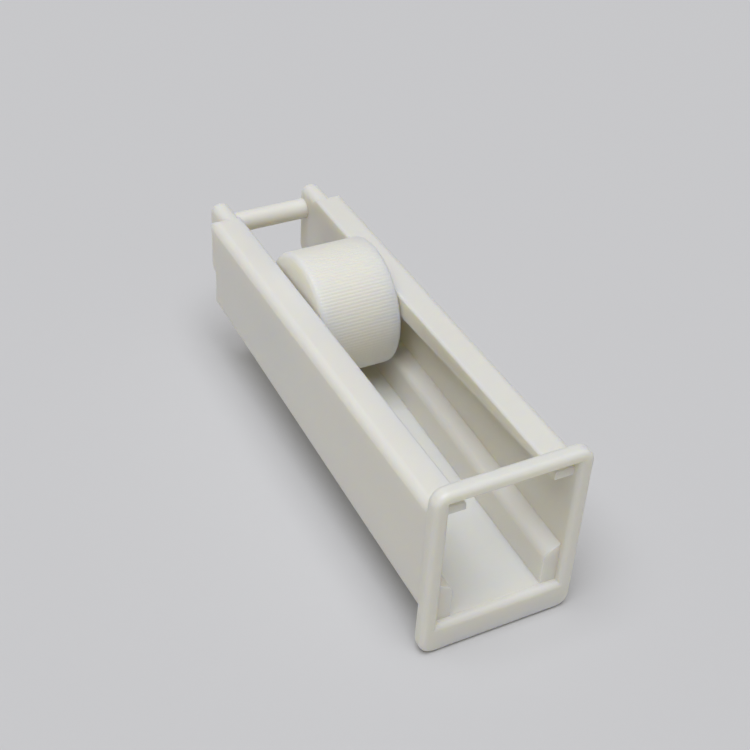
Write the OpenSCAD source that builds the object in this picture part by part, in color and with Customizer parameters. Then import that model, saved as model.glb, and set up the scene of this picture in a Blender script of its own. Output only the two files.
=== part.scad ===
// Roller tubing clamp: an open-topped channel with a front frame, and a thumb roller whose
// trunnions run under two sloping lips, so that rolling it to the rear pinches the tube.
// Millimetres. +Z is up, +Y runs from the front frame to the rear ears, X = 0 is the mid plane.

/* [Front frame] */
// Width of the frame
frame_w = 24; // [23.6:0.2:30]
// Height of the frame
frame_h = 29.2; // [27.6:0.2:36]
// Thickness of the frame along the channel
frame_t = 2.4; // [1.8:0.1:4]
// Height of the top bar
head_h = 2; // [1.4:0.1:3]
// Height of the sill that the tube leaves over
sill_h = 5; // [4:0.1:6]
// Radius of the frame's outer corners
frame_r = 2.2; // [0.9:0.1:3]
// Radius along the edges of the frame's bars
frame_edge_r = 0.8; // [0.2:0.1:0.85]

/* [Walls] */
// Width over the two walls
body_w = 23.4; // [22:0.1:23.9]
// Length from the frame's face to the walls' rear ends
body_l = 74.2; // [72:0.2:90]
// Height of the walls' tops
rim_z = 25.9; // [25:0.1:27]
// Thickness of the walls beside the recesses
skin_t = 2; // [1.2:0.1:2.2]
// Height of the walls' lower edges at the frame's face
foot_z = 5.8; // [5.2:0.1:6.6]
// Radius along the walls' outer top edges
rim_r = 1.4; // [0.3:0.1:1.8]
// Radius along the lips' inner top edges
lip_r = 0.4; // [0.2:0.1:0.8]
// Radius along the walls' lower edges
foot_r = 3; // [0.5:0.1:3.4]
// Radius of the walls' lower rear corners
heel_r = 2.8; // [0.5:0.1:4]
// Radius of the walls' upper rear corners
shoulder_r = 1.8; // [0.5:0.1:3]
// Radius along the upright edges of the walls' rear ends
tail_r = 1.3; // [0.3:0.1:2]
// Height above which the walls' rear ends lean back
lean_z = 18; // [15:0.5:20]
// Angle of the lean, in degrees
lean = 14.5; // [0:0.5:20]

/* [Channel] */
// Width of the slot between the lips
slot_w = 13.4; // [12:0.1:14]
// Width of the channel that the tube lies in
channel_w = 14.4; // [13.8:0.1:16]
// Rise of the floor towards the rear, in degrees
floor_rise = 2.73; // [1.5:0.01:3.2]
// Thickness of the floor
floor_t = 1.5; // [1:0.1:2.2]
// How far the keel's sides stand outside the recesses above them
keel_cover = 0.3; // [0.1:0.1:0.6]
// Radius along the keel's lower edges
keel_r = 2.4; // [0.5:0.1:2.8]
// Height of the channel's sides
channel_h = 5.4; // [4:0.1:6]
// Height of the ramps from the channel's sides up to the walls
ramp_h = 1.3; // [0.4:0.1:2.4]
// Radius along the ramps' inner edges
ledge_r = 1.6; // [0.2:0.1:2.4]

/* [Roller tracks] */
// Thickness of the lips at the frame's face
lip_t = 1.25; // [1:0.05:1.8]
// Fall of the lips' undersides towards the rear, in degrees
track_fall = 2.75; // [1.5:0.05:3.2]
// Length of the solid block that closes the recesses at the rear
block_l = 8; // [6:0.2:10]

/* [Rear ears] */
// Thickness of each ear
ear_t = 2.9; // [2.7:0.1:3.6]
// Reach of the ears behind the walls
ear_l = 6.8; // [6:0.1:10]
// Height of the ears' lower edges
ear_z = 12.5; // [11.5:0.1:15]
// Radius of the ears' corners, seen from the side
ear_r = 2; // [1.4:0.1:3]
// Radius along the ears' edges
ear_edge_r = 1.3; // [0.2:0.1:1.4]
// Diameter of the crossbar over the tube
bar_d = 3.4; // [2:0.1:3.6]
// Depth of the crossbar's axis below the walls' tops
bar_drop = 4; // [3:0.1:6]
// Distance of the crossbar's axis from the ears' ends
bar_inset = 2; // [1.9:0.1:2.6]

/* [Roller] */
// Diameter over the roller's ribs
roller_d = 20.2; // [18:0.1:20.8]
// Distance of the roller's axis from the frame's face
roller_y = 52.8; // [20:0.2:62]
// Radius of the rim's smooth shoulders
shoulder_edge_r = 1.2; // [0.3:0.1:1.4]
// Number of grip ribs round the rim
rib_n = 120; // [60:2:150]
// Depth of the grooves between the ribs
rib_depth = 0.1; // [0.05:0.01:0.3]
// Diameter of the trunnions
trunnion_d = 3.5; // [3:0.1:4]
// Chamfer on the trunnions' ends
trunnion_chamfer = 0.4; // [0.1:0.1:0.8]

/* [Clearances] */
// Gap between each end of the roller and its lip
side_gap = 0.2; // [0.1:0.05:0.4]
// Gap between a trunnion and the lip above it
track_gap = 0.15; // [0.05:0.05:0.3]
// Gap between a trunnion's end and the wall beside it
end_gap = 0.3; // [0.1:0.05:0.6]

/* [Hidden] */
$fn = 64;

cool_white = [0.88, 0.88, 0.86];
ivory = [0.92, 0.90, 0.84];

// Solids that are cut away run this far past the faces they open
past = 5;
overall_l = body_l + ear_l;
recess_x = body_w / 2 - skin_t;
recess_end = body_l - block_l;
channel_x = channel_w / 2;
keel_w = 2 * (recess_x + keel_cover);
slot_x = slot_w / 2;
wall_front = frame_t / 2;
deep = frame_h;
roller_r = roller_d / 2;
roller_w = slot_w - 2 * side_gap;
trunnion_r = trunnion_d / 2;
trunnion_x = recess_x - end_gap;

// Height of a line that leaves the frame's face at z and rises with the floor
function risen(z, y) = z + y * tan(floor_rise);
// Height of the lips' undersides
function lip_z(y) = rim_z - lip_t - y * tan(track_fall);

roller_z = lip_z(roller_y) - (trunnion_r + track_gap) / cos(track_fall);

// A shape drawn with Y across and Z up, made w thick about the mid plane
module across(w) {
    rotate([90, 0, 90]) linear_extrude(w, center = true) children();
}

// A shape drawn with X across and Z up, carried from y0 to y1
module along(y0, y1) {
    translate([0, y1, 0]) rotate([90, 0, 0]) linear_extrude(y1 - y0) children();
}

// Tilts what runs along Y so that it rises with the floor from height z at the frame's face
module rising(z) {
    translate([0, 0, z]) rotate([floor_rise, 0, 0]) children();
}

// A rectangle with round corners, its foot at zero and centred across
module round_rect(w, h, r) {
    translate([r - w / 2, 0]) square([w - 2 * r, h]);
    translate([-w / 2, r]) square([w, h - 2 * r]);
    for (x = [r - w / 2, w / 2 - r], z = [r, h - r]) translate([x, z]) circle(r);
}

// Half section of a disc with rounded edges, its axis up and its middle at zero
module disc_section(r, t, edge_r) {
    translate([0, -t / 2]) intersection() {
        round_rect(2 * r, t, edge_r);
        square([r, t]);
    }
}

// An upright plate that faces along Y, its foot at zero, with round corners and rounded edges
module round_plate(w, h, t, r, edge_r) {
    for (x = [r - w / 2, w / 2 - r], z = [r, h - r]) translate([x, 0, z]) rotate([90, 0, 0])
        rotate_extrude() disc_section(r, t, edge_r);
    across(w - 2 * r) round_rect(t, h, edge_r);
    translate([0, -t / 2, r]) linear_extrude(h - 2 * r) round_rect(w, t, edge_r);
}

// Side outline of the walls: a rounded heel, and a rear end that leans back to a rounded shoulder
module wall_side() {
    heel = [body_l - heel_r, risen(foot_z, body_l - heel_r) + heel_r / cos(floor_rise)];
    top_z = rim_z - shoulder_r;
    top = [body_l + ((top_z - lean_z) * sin(lean) - shoulder_r) / cos(lean), top_z];
    polygon([
        [wall_front, -deep],
        [heel.x, -deep],
        heel,
        [body_l, heel.y],
        [body_l, lean_z],
        top + shoulder_r * [cos(lean), -sin(lean)],
        top,
        [top.x, rim_z],
        [wall_front, rim_z]
    ]);
    translate(heel) circle(heel_r);
    translate(top) circle(shoulder_r);
}

// A long block whose rear end, upright below and leaning above, has rounded upright edges
module rear_ends() {
    for (a = [0, lean]) translate([0, body_l, lean_z]) rotate([-a, 0, 0])
        translate([0, -2 * body_l, -2 * deep]) linear_extrude(4 * deep)
            round_rect(body_w, 2 * body_l, tail_r);
}

// The walls and the keel below them as one solid block
module wall_block() {
    intersection() {
        along(0, overall_l) translate([0, -deep]) round_rect(body_w, rim_z + deep, rim_r);
        union() {
            rising(foot_z) along(-past, overall_l) round_rect(body_w, 2 * deep, foot_r);
            rising(sill_h - floor_t) along(-past, overall_l)
                round_rect(keel_w, 2 * deep, keel_r);
        }
        across(frame_w) wall_side();
        rear_ends();
    }
}

// Cross-section of the hollow: the tube's channel, the ramps beside it and the recesses above
module hollow_section() {
    ramp_top = channel_h + ramp_h;
    polygon([
        [-channel_x, 0],
        [channel_x, 0],
        [channel_x, channel_h],
        [recess_x, ramp_top],
        [recess_x, 2 * deep],
        [-recess_x, 2 * deep],
        [-recess_x, ramp_top],
        [-channel_x, channel_h]
    ]);
    for (m = [0, 1]) mirror([m, 0]) ledge_edge();
}

// What is cut from a ramp's inner edge to round it
module ledge_edge() {
    slope = atan2(ramp_h, recess_x - channel_x);
    middle = [channel_x + ledge_r, channel_h + ledge_r * (tan(slope) - 1 / cos(slope))];
    difference() {
        polygon([
            [channel_x - ledge_r, middle.y],
            middle,
            middle + 2 * ledge_r * [-sin(slope), cos(slope)],
            [channel_x - ledge_r, channel_h + ledge_r]
        ]);
        translate(middle) circle(ledge_r);
    }
}

// Side outline of the hollow: everything under the lips as far as the closing block
module under_lips() {
    polygon([
        [-past, -deep],
        [recess_end, -deep],
        [recess_end, lip_z(recess_end)],
        [-past, lip_z(-past)]
    ]);
}

// The hollow under the lips and the slot between them
module hollow() {
    intersection() {
        rising(sill_h) along(-past, overall_l) hollow_section();
        across(frame_w) under_lips();
    }
    rising(sill_h) along(-past, overall_l + past)
        translate([-slot_x, 0]) square([slot_w, 2 * deep]);
    along(-past, overall_l + past) for (m = [0, 1]) mirror([m, 0]) lip_edge();
}

// What is cut from a lip's inner top edge to round it
module lip_edge() {
    difference() {
        translate([slot_x - lip_r, rim_z - lip_r]) square([2 * lip_r, 2 * lip_r]);
        translate([slot_x + lip_r, rim_z - lip_r]) circle(lip_r);
    }
}

// The frame at the front: a plate whose window is left between four bars with rounded edges
module front_frame() {
    translate([0, frame_t / 2, 0]) intersection() {
        round_plate(frame_w, frame_h, frame_t, frame_r, frame_edge_r);
        union() {
            for (x = [-1, 1]) translate([x * (recess_x + deep / 2), -frame_t / 2, -deep / 2])
                linear_extrude(2 * deep) round_rect(deep, frame_t, frame_edge_r);
            across(2 * frame_w) for (z = [sill_h - deep, frame_h - head_h])
                translate([0, z]) round_rect(frame_t, deep, frame_edge_r);
        }
    }
}

// The two ears that carry the walls' inner layers on behind the walls
module ears() {
    plate_l = ear_l + block_l / 2;
    for (x = [-1, 1]) translate([x * (slot_x + ear_t / 2), overall_l - plate_l / 2, ear_z])
        rotate([0, 0, 90]) round_plate(plate_l, rim_z - ear_z, ear_t, ear_r, ear_edge_r);
}

// Crossbar between the ears, over the tube
module crossbar() {
    translate([0, overall_l - bar_inset, rim_z - bar_drop]) rotate([0, 90, 0])
        cylinder(h = slot_w + ear_t, d = bar_d, center = true);
}

// One moulding: frame, walls, keel, ears and crossbar
module housing() {
    color(cool_white) translate([0, -overall_l / 2, 0]) {
        difference() {
            wall_block();
            hollow();
        }
        front_frame();
        ears();
        crossbar();
    }
}

// Outline of the ribbed grip seen along the roller's axis
module rib_outline() {
    step = 180 / rib_n;
    polygon([
        for (i = [0 : 2 * rib_n - 1])
            (roller_r - (i % 2) * rib_depth) * [cos(i * step), sin(i * step)]
    ]);
}

// One moulding: ribbed rim with smooth shoulders and the two trunnions
module roller() {
    color(ivory) translate([0, roller_y - overall_l / 2, roller_z]) rotate([0, 90, 0]) {
        rotate_extrude() disc_section(roller_r - 1.5 * rib_depth, roller_w, shoulder_edge_r);
        linear_extrude(roller_w - 2 * shoulder_edge_r, center = true) rib_outline();
        cylinder(h = 2 * (trunnion_x - trunnion_chamfer), d = trunnion_d, center = true);
        for (m = [0, 1]) mirror([0, 0, m]) translate([0, 0, trunnion_x - trunnion_chamfer])
            cylinder(h = trunnion_chamfer, r1 = trunnion_r, r2 = trunnion_r - trunnion_chamfer);
    }
}

housing();
roller();
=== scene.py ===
"""Roller tubing clamp: the moulded housing, its ribbed thumb roller and a plain studio.

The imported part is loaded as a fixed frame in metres. Each operator makes one piece around it.
"""

import math

import bmesh
import bpy
import numpy as np
from mathutils import Matrix, Vector


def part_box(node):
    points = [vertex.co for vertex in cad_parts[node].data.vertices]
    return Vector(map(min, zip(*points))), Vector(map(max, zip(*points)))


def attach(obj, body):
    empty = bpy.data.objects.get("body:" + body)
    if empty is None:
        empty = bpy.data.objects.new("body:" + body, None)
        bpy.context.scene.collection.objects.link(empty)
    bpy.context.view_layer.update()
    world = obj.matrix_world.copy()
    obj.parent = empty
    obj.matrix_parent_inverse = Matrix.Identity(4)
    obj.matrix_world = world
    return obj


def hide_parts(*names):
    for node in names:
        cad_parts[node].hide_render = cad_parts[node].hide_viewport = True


bl_info = {
    "name": "Roller Tubing Clamp",
    "version": (1, 0, 0),
    "blender": (4, 5, 0),
    "location": "3D View > Sidebar > Tubing Clamp",
    "description": "Builds the looks of a roller tubing clamp around its CAD frame",
    "category": "Object",
}

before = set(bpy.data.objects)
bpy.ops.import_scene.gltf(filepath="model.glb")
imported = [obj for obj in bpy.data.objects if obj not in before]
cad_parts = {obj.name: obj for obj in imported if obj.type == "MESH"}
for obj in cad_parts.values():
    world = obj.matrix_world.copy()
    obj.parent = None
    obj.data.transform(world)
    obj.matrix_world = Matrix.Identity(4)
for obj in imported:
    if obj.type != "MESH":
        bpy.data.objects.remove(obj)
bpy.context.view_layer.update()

MM = 0.001
IMAGE_W = 750
SENSOR_MM = 36.0

# The floor reaches this far each way and lies this far below the part, in metres
FLOOR_REACH = 3.0
FLOOR_DROP = 0.05 * MM
# Spread of the key light, and strength of the sky where the camera sees it
KEY_SPREAD = math.radians(50)
SKY_SEEN = 0.9

# Moulded ABS: refraction, share of light that enters it, and its reach in red, green and blue
ABS_IOR = 1.53
ABS_SCATTER = 0.95
ABS_REACH = (1.0, 0.85, 0.45)
# Size of the cloudy patches in the gloss, and how far they change the roughness
CLOUD_MM = 9.0
CLOUD_CHANGE = 0.05
# Depth of the moulded grain
GRAIN_DEPTH_MM = 0.02

# Points along the rim, a shoulder, a straight run and a fillet, and round each rib
RIM_POINTS = 5
SHOULDER_POINTS = 15
RUN_POINTS = 3
FILLET_POINTS = 5
RIB_POINTS = 8
# Above 1 the ribs are broader than the grooves between them
RIB_FULLNESS = 1.5
# Where the outer ring of points on the roller's flat ends lies, as a share of its radius
END_RING = 0.6

ROLLER_LOW, ROLLER_HIGH = (np.array(corner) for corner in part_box("roller"))
ROLLER_CENTRE = 0.5 * (ROLLER_LOW + ROLLER_HIGH)
ROLLER_RADIUS = 0.5 * (ROLLER_HIGH[2] - ROLLER_LOW[2])
ROLLER_REACH = 0.5 * (ROLLER_HIGH[0] - ROLLER_LOW[0])


def linear_colour(hex_code):
    """An sRGB hex code such as "#E4E2DA" as linear red, green, blue and a full alpha."""
    channels = [int(hex_code[i:i + 2], 16) / 255 for i in (1, 3, 5)]
    linear = [c / 12.92 if c <= 0.04045 else ((c + 0.055) / 1.055) ** 2.4 for c in channels]
    return (*linear, 1.0)


class HousingSettings(bpy.types.PropertyGroup):
    """Finish of the housing."""

    colour: bpy.props.StringProperty(
        name="Colour", description="Plastic's colour as an sRGB hex code", default="#E4E2DA")
    roughness: bpy.props.FloatProperty(
        name="Roughness", description="Roughness of the moulded face", default=0.42, min=0, max=1)


class RollerSettings(bpy.types.PropertyGroup):
    """Sizes and finish of the roller."""

    rib_count: bpy.props.IntProperty(
        name="Ribs", description="Grip ribs round the rim", default=120, min=40, max=160)
    rib_depth: bpy.props.FloatProperty(
        name="Rib depth", description="Depth of the grooves between the ribs",
        default=0.045 * MM, precision=5, unit="LENGTH")
    width: bpy.props.FloatProperty(
        name="Width", description="Width over the rim", default=13.0 * MM, unit="LENGTH")
    shoulder_width: bpy.props.FloatProperty(
        name="Shoulder width", description="How far in from its ends the rim starts to fall",
        default=0.8 * MM, precision=5, unit="LENGTH")
    shoulder_fall: bpy.props.FloatProperty(
        name="Shoulder fall", description="How far the rim has fallen where it meets the flat ends",
        default=0.9 * MM, precision=5, unit="LENGTH")
    trunnion_radius: bpy.props.FloatProperty(
        name="Trunnion radius", description="Radius of the two trunnions", default=1.75 * MM,
        unit="LENGTH")
    trunnion_chamfer: bpy.props.FloatProperty(
        name="Trunnion chamfer", description="Chamfer on the trunnions' ends",
        default=0.4 * MM, precision=5, unit="LENGTH")
    trunnion_root: bpy.props.FloatProperty(
        name="Trunnion root", description="Radius of the fillet at the trunnions' roots",
        default=0.3 * MM, precision=5, unit="LENGTH")
    colour: bpy.props.StringProperty(
        name="Colour", description="Plastic's colour as an sRGB hex code", default="#E8E5DA")
    roughness: bpy.props.FloatProperty(
        name="Roughness", description="Roughness of the rim", default=0.5, min=0, max=1)


class StudioSettings(bpy.types.PropertyGroup):
    """Floor, light and camera."""

    floor_colour: bpy.props.StringProperty(
        name="Floor", description="Floor's colour as an sRGB hex code", default="#CDCCCA")
    key_colour: bpy.props.StringProperty(
        name="Key colour", description="Key light's colour as an sRGB hex code", default="#F3F6FF")
    sky_colour: bpy.props.StringProperty(
        name="Sky colour", description="Even light's colour as an sRGB hex code", default="#EEEAE2")
    key_strength: bpy.props.FloatProperty(
        name="Key light", description="Strength of the broad even light from above", default=2.6)
    key_place: bpy.props.FloatVectorProperty(
        name="Key place", description="Where the light comes from, seen from the clamp",
        default=(-75 * MM, -65 * MM, 360 * MM), subtype="TRANSLATION", unit="LENGTH")
    sky_strength: bpy.props.FloatProperty(
        name="Sky", description="Strength of the even light from all round", default=0.26)
    camera_place: bpy.props.FloatVectorProperty(
        name="Camera", description="Where the camera stands",
        default=(-82.69 * MM, -148.53 * MM, 148.65 * MM), subtype="TRANSLATION", unit="LENGTH")
    camera_target: bpy.props.FloatVectorProperty(
        name="Target", description="Point in the middle of the picture",
        default=(-1.87 * MM, -5.02 * MM, 20.0 * MM), subtype="TRANSLATION", unit="LENGTH")
    camera_roll: bpy.props.FloatProperty(
        name="Roll", description="Turn of the camera about its view axis",
        default=math.radians(3.76), subtype="ANGLE")
    focal_px: bpy.props.FloatProperty(
        name="Focal length", description="Focal length in pixels of the square picture",
        default=1424.1)


def add_node(tree, kind, inputs=None):
    """Adds a shader node and sets its inputs; an input that is a socket is linked."""
    node = tree.nodes.new(kind)
    for key, value in (inputs or {}).items():
        if isinstance(value, bpy.types.NodeSocket):
            tree.links.new(value, node.inputs[key])
        else:
            node.inputs[key].default_value = value
    return node


def new_material(name):
    """An empty node material with its output, ready for a shader."""
    material = bpy.data.materials.new(name)
    material.use_nodes = True
    tree = material.node_tree
    tree.nodes.clear()
    return material, tree, add_node(tree, "ShaderNodeOutputMaterial")


def moulded_plastic(name, hex_code, roughness, grain_mm, glow_mm):
    """Moulded natural ABS: a satin white plastic that lets a little light in at its edges.

    The mould's spark-eroded face leaves a fine grain, drawn as a shallow bump, and the melt's
    flow leaves soft cloudy patches in the gloss. Light spreads about glow_mm inside the plastic,
    furthest in red, which warms the shaded faces.
    """
    material, tree, output = new_material(name)
    place = add_node(tree, "ShaderNodeTexCoord").outputs["Object"]
    grain = add_node(tree, "ShaderNodeTexNoise",
                     {"Vector": place, "Scale": 1 / (grain_mm * MM), "Detail": 2.0})
    cloud = add_node(tree, "ShaderNodeTexNoise",
                     {"Vector": place, "Scale": 1 / (CLOUD_MM * MM), "Detail": 3.0})
    gloss = add_node(tree, "ShaderNodeMapRange",
                     {"Value": cloud.outputs["Fac"], "From Min": 0.3, "From Max": 0.7,
                      "To Min": roughness - CLOUD_CHANGE, "To Max": roughness + CLOUD_CHANGE})
    bump = add_node(tree, "ShaderNodeBump",
                    {"Height": grain.outputs["Fac"], "Distance": GRAIN_DEPTH_MM * MM,
                     "Strength": 0.5})
    shader = add_node(tree, "ShaderNodeBsdfPrincipled",
                      {"Base Color": linear_colour(hex_code),
                       "Roughness": gloss.outputs["Result"],
                       "IOR": ABS_IOR,
                       "Subsurface Weight": ABS_SCATTER,
                       "Subsurface Radius": ABS_REACH,
                       "Subsurface Scale": glow_mm * MM,
                       "Normal": bump.outputs["Normal"]})
    tree.links.new(shader.outputs["BSDF"], output.inputs["Surface"])
    return material


def lathe_mesh(name, along, radius, angles):
    """A closed surface turned about X: a grid of profile points by angles.

    along holds each profile point's distance along the axis, radius each point's radius at
    each angle. The profile starts and ends on the axis.
    """
    rows, columns = radius.shape
    points = np.stack([np.repeat(along[:, None], columns, 1),
                       radius * np.cos(angles), radius * np.sin(angles)], -1)
    inner = points[1:-1].reshape(-1, 3)
    verts = np.vstack([inner, points[:1, 0], points[-1:, 0]])
    rings = np.arange(inner.shape[0]).reshape(rows - 2, columns)
    after = np.roll(rings, -1, 1)
    quads = np.stack([rings[:-1], after[:-1], after[1:], rings[1:]], -1).reshape(-1, 4)
    first, last = len(inner), len(inner) + 1
    caps = np.vstack([np.stack([after[0], rings[0], np.full(columns, first)], -1),
                      np.stack([rings[-1], after[-1], np.full(columns, last)], -1)])
    mesh = bpy.data.meshes.new(name)
    mesh.from_pydata(verts.tolist(), [], quads.tolist() + caps.tolist())
    shape = bmesh.new()
    shape.from_mesh(mesh)
    bmesh.ops.recalc_face_normals(shape, faces=shape.faces)
    shape.to_mesh(mesh)
    shape.free()
    mesh.polygons.foreach_set("use_smooth", np.ones(len(mesh.polygons), bool))
    return mesh


def run(start, end, count):
    """Points on a straight line from start to end, as along and radius columns."""
    return np.linspace(start, end, count)


def arc(centre, radii, start, end, count):
    """Points on an ellipse's arc from start to end degrees, as along and radius columns."""
    turn = np.radians(np.linspace(start, end, count))
    return np.array(centre) + np.array(radii) * np.stack([np.cos(turn), np.sin(turn)], -1)


class CLAMP_OT_housing(bpy.types.Operator):
    """Gives the housing its moulded white plastic"""

    bl_idname = "clamp.housing"
    bl_label = "Housing"

    def execute(self, context):
        size = context.scene.clamp_housing
        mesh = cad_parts["housing"].data
        mesh.materials.clear()
        mesh.materials.append(moulded_plastic(
            "moulded natural ABS, housing", size.colour, size.roughness,
            grain_mm=0.35, glow_mm=3.5))
        return {"FINISHED"}


class CLAMP_OT_roller(bpy.types.Operator):
    """Makes the ribbed thumb roller with its two trunnions"""

    bl_idname = "clamp.roller"
    bl_label = "Roller"

    def execute(self, context):
        size = context.scene.clamp_roller
        half = 0.5 * size.width
        shoulder = np.array([size.shoulder_width, size.shoulder_fall])
        crown = np.array([half, ROLLER_RADIUS]) - shoulder
        pin, chamfer = size.trunnion_radius, size.trunnion_chamfer
        root = size.trunnion_root
        # Right half of the profile from the middle of the rim out to the trunnion's end
        right = np.vstack([
            run((0, ROLLER_RADIUS), (crown[0], ROLLER_RADIUS), RIM_POINTS),
            arc(crown, shoulder, 90, 0, SHOULDER_POINTS)[1:],
            run((half, END_RING * ROLLER_RADIUS), (half, pin + 2 * root), RUN_POINTS),
            arc((half + root, pin + root), (root, root), 180, 270, FILLET_POINTS),
            run((half + 2 * root, pin), (ROLLER_REACH - chamfer, pin), RUN_POINTS),
            [[ROLLER_REACH, pin - chamfer], [ROLLER_REACH, 0.5 * pin], [ROLLER_REACH, 0]],
        ])
        left = right[:0:-1] * [-1, 1]
        profile = np.vstack([left, right])
        angles = np.linspace(0, 2 * np.pi, RIB_POINTS * size.rib_count, endpoint=False)
        # A rib is a rounded wave: full height at its crown, rib_depth lower in the groove,
        # and it fades out over the rim's shoulders
        wave = 0.5 - 0.5 * np.cos(size.rib_count * angles)
        groove = size.rib_depth * wave ** RIB_FULLNESS
        on_rim = np.clip((half - np.abs(profile[:, 0])) / (0.5 * shoulder[0]) - 0.5, 0, 1)
        radius = profile[:, 1:2] - on_rim[:, None] * groove[None, :]
        mesh = lathe_mesh("roller_moulding", profile[:, 0], radius, angles)
        mesh.transform(Matrix.Translation(Vector(ROLLER_CENTRE)))
        piece = bpy.data.objects.new("roller_moulding", mesh)
        context.scene.collection.objects.link(piece)
        mesh.materials.append(moulded_plastic(
            "moulded natural ABS, roller", size.colour, size.roughness,
            grain_mm=0.3, glow_mm=9.0))
        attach(piece, "roller")
        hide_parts("roller")
        return {"FINISHED"}


class CLAMP_OT_studio(bpy.types.Operator):
    """Lays the pale floor, hangs the soft light and sets up the camera"""

    bl_idname = "clamp.studio"
    bl_label = "Studio"

    def execute(self, context):
        studio = context.scene.clamp_studio
        self.lay_floor(context, studio)
        self.hang_light(context, studio)
        self.light_sky(context, studio)
        self.place_camera(context, studio)
        context.scene.view_settings.view_transform = "Standard"
        return {"FINISHED"}

    def lay_floor(self, context, studio):
        """A square floor, large enough to fill the picture."""
        half, level = FLOOR_REACH, -FLOOR_DROP
        mesh = bpy.data.meshes.new("floor")
        mesh.from_pydata([(-half, -half, level), (half, -half, level),
                          (half, half, level), (-half, half, level)], [], [(0, 1, 2, 3)])
        floor = bpy.data.objects.new("floor", mesh)
        context.scene.collection.objects.link(floor)
        material, tree, output = new_material("matt paper floor")
        shader = add_node(tree, "ShaderNodeBsdfPrincipled",
                          {"Base Color": linear_colour(studio.floor_colour), "Roughness": 0.9})
        tree.links.new(shader.outputs["BSDF"], output.inputs["Surface"])
        mesh.materials.append(material)

    def hang_light(self, context, studio):
        """A distant light as broad as a large soft box, so that its shadows fade softly."""
        data = bpy.data.lights.new("key light", "SUN")
        data.energy = studio.key_strength
        data.color = linear_colour(studio.key_colour)[:3]
        data.angle = KEY_SPREAD
        light = bpy.data.objects.new("key light", data)
        light.location = studio.key_place
        light.rotation_euler = Vector(studio.key_place).to_track_quat("Z", "Y").to_euler()
        context.scene.collection.objects.link(light)

    def light_sky(self, context, studio):
        """An even sky that fills the shadows; the camera sees it in the floor's colour."""
        world = bpy.data.worlds.new("studio")
        context.scene.world = world
        world.use_nodes = True
        tree = world.node_tree
        tree.nodes.clear()
        fill = add_node(tree, "ShaderNodeBackground",
                        {"Color": linear_colour(studio.sky_colour),
                         "Strength": studio.sky_strength})
        wall = add_node(tree, "ShaderNodeBackground",
                        {"Color": linear_colour(studio.floor_colour), "Strength": SKY_SEEN})
        ray = add_node(tree, "ShaderNodeLightPath")
        sky = add_node(tree, "ShaderNodeMixShader",
                       {0: ray.outputs["Is Camera Ray"], 1: fill.outputs["Background"],
                        2: wall.outputs["Background"]})
        add_node(tree, "ShaderNodeOutputWorld", {"Surface": sky.outputs["Shader"]})

    def place_camera(self, context, studio):
        """A camera at the photograph's place, turned to its target and rolled about its axis."""
        data = bpy.data.cameras.new("camera")
        data.sensor_width = SENSOR_MM
        data.lens = studio.focal_px * SENSOR_MM / IMAGE_W
        data.clip_start = 1 * MM
        camera = bpy.data.objects.new("camera", data)
        place, target = Vector(studio.camera_place), Vector(studio.camera_target)
        aim = (place - target).to_track_quat("Z", "Y").to_matrix().to_4x4()
        roll = Matrix.Rotation(studio.camera_roll, 4, "Z")
        camera.matrix_world = Matrix.Translation(place) @ aim @ roll
        context.scene.collection.objects.link(camera)
        context.scene.camera = camera


class CLAMP_PT_panel(bpy.types.Panel):
    """Lists the clamp's pieces and their sizes"""

    bl_idname = "CLAMP_PT_panel"
    bl_label = "Tubing Clamp"
    bl_space_type = "VIEW_3D"
    bl_region_type = "UI"
    bl_category = "Tubing Clamp"

    def draw(self, context):
        groups = ((CLAMP_OT_housing, context.scene.clamp_housing),
                  (CLAMP_OT_roller, context.scene.clamp_roller),
                  (CLAMP_OT_studio, context.scene.clamp_studio))
        for operator, settings in groups:
            box = self.layout.box()
            box.operator(operator.bl_idname)
            for name in settings.__annotations__:
                box.prop(settings, name)


CLASSES = (HousingSettings, RollerSettings, StudioSettings,
           CLAMP_OT_housing, CLAMP_OT_roller, CLAMP_OT_studio, CLAMP_PT_panel)


def register():
    for cls in CLASSES:
        bpy.utils.register_class(cls)
    bpy.types.Scene.clamp_housing = bpy.props.PointerProperty(type=HousingSettings)
    bpy.types.Scene.clamp_roller = bpy.props.PointerProperty(type=RollerSettings)
    bpy.types.Scene.clamp_studio = bpy.props.PointerProperty(type=StudioSettings)


def unregister():
    del bpy.types.Scene.clamp_studio
    del bpy.types.Scene.clamp_roller
    del bpy.types.Scene.clamp_housing
    for cls in reversed(CLASSES):
        bpy.utils.unregister_class(cls)


def main():
    register()
    bpy.ops.clamp.housing()
    bpy.ops.clamp.roller()
    bpy.ops.clamp.studio()


if __name__ == "__main__":
    main()
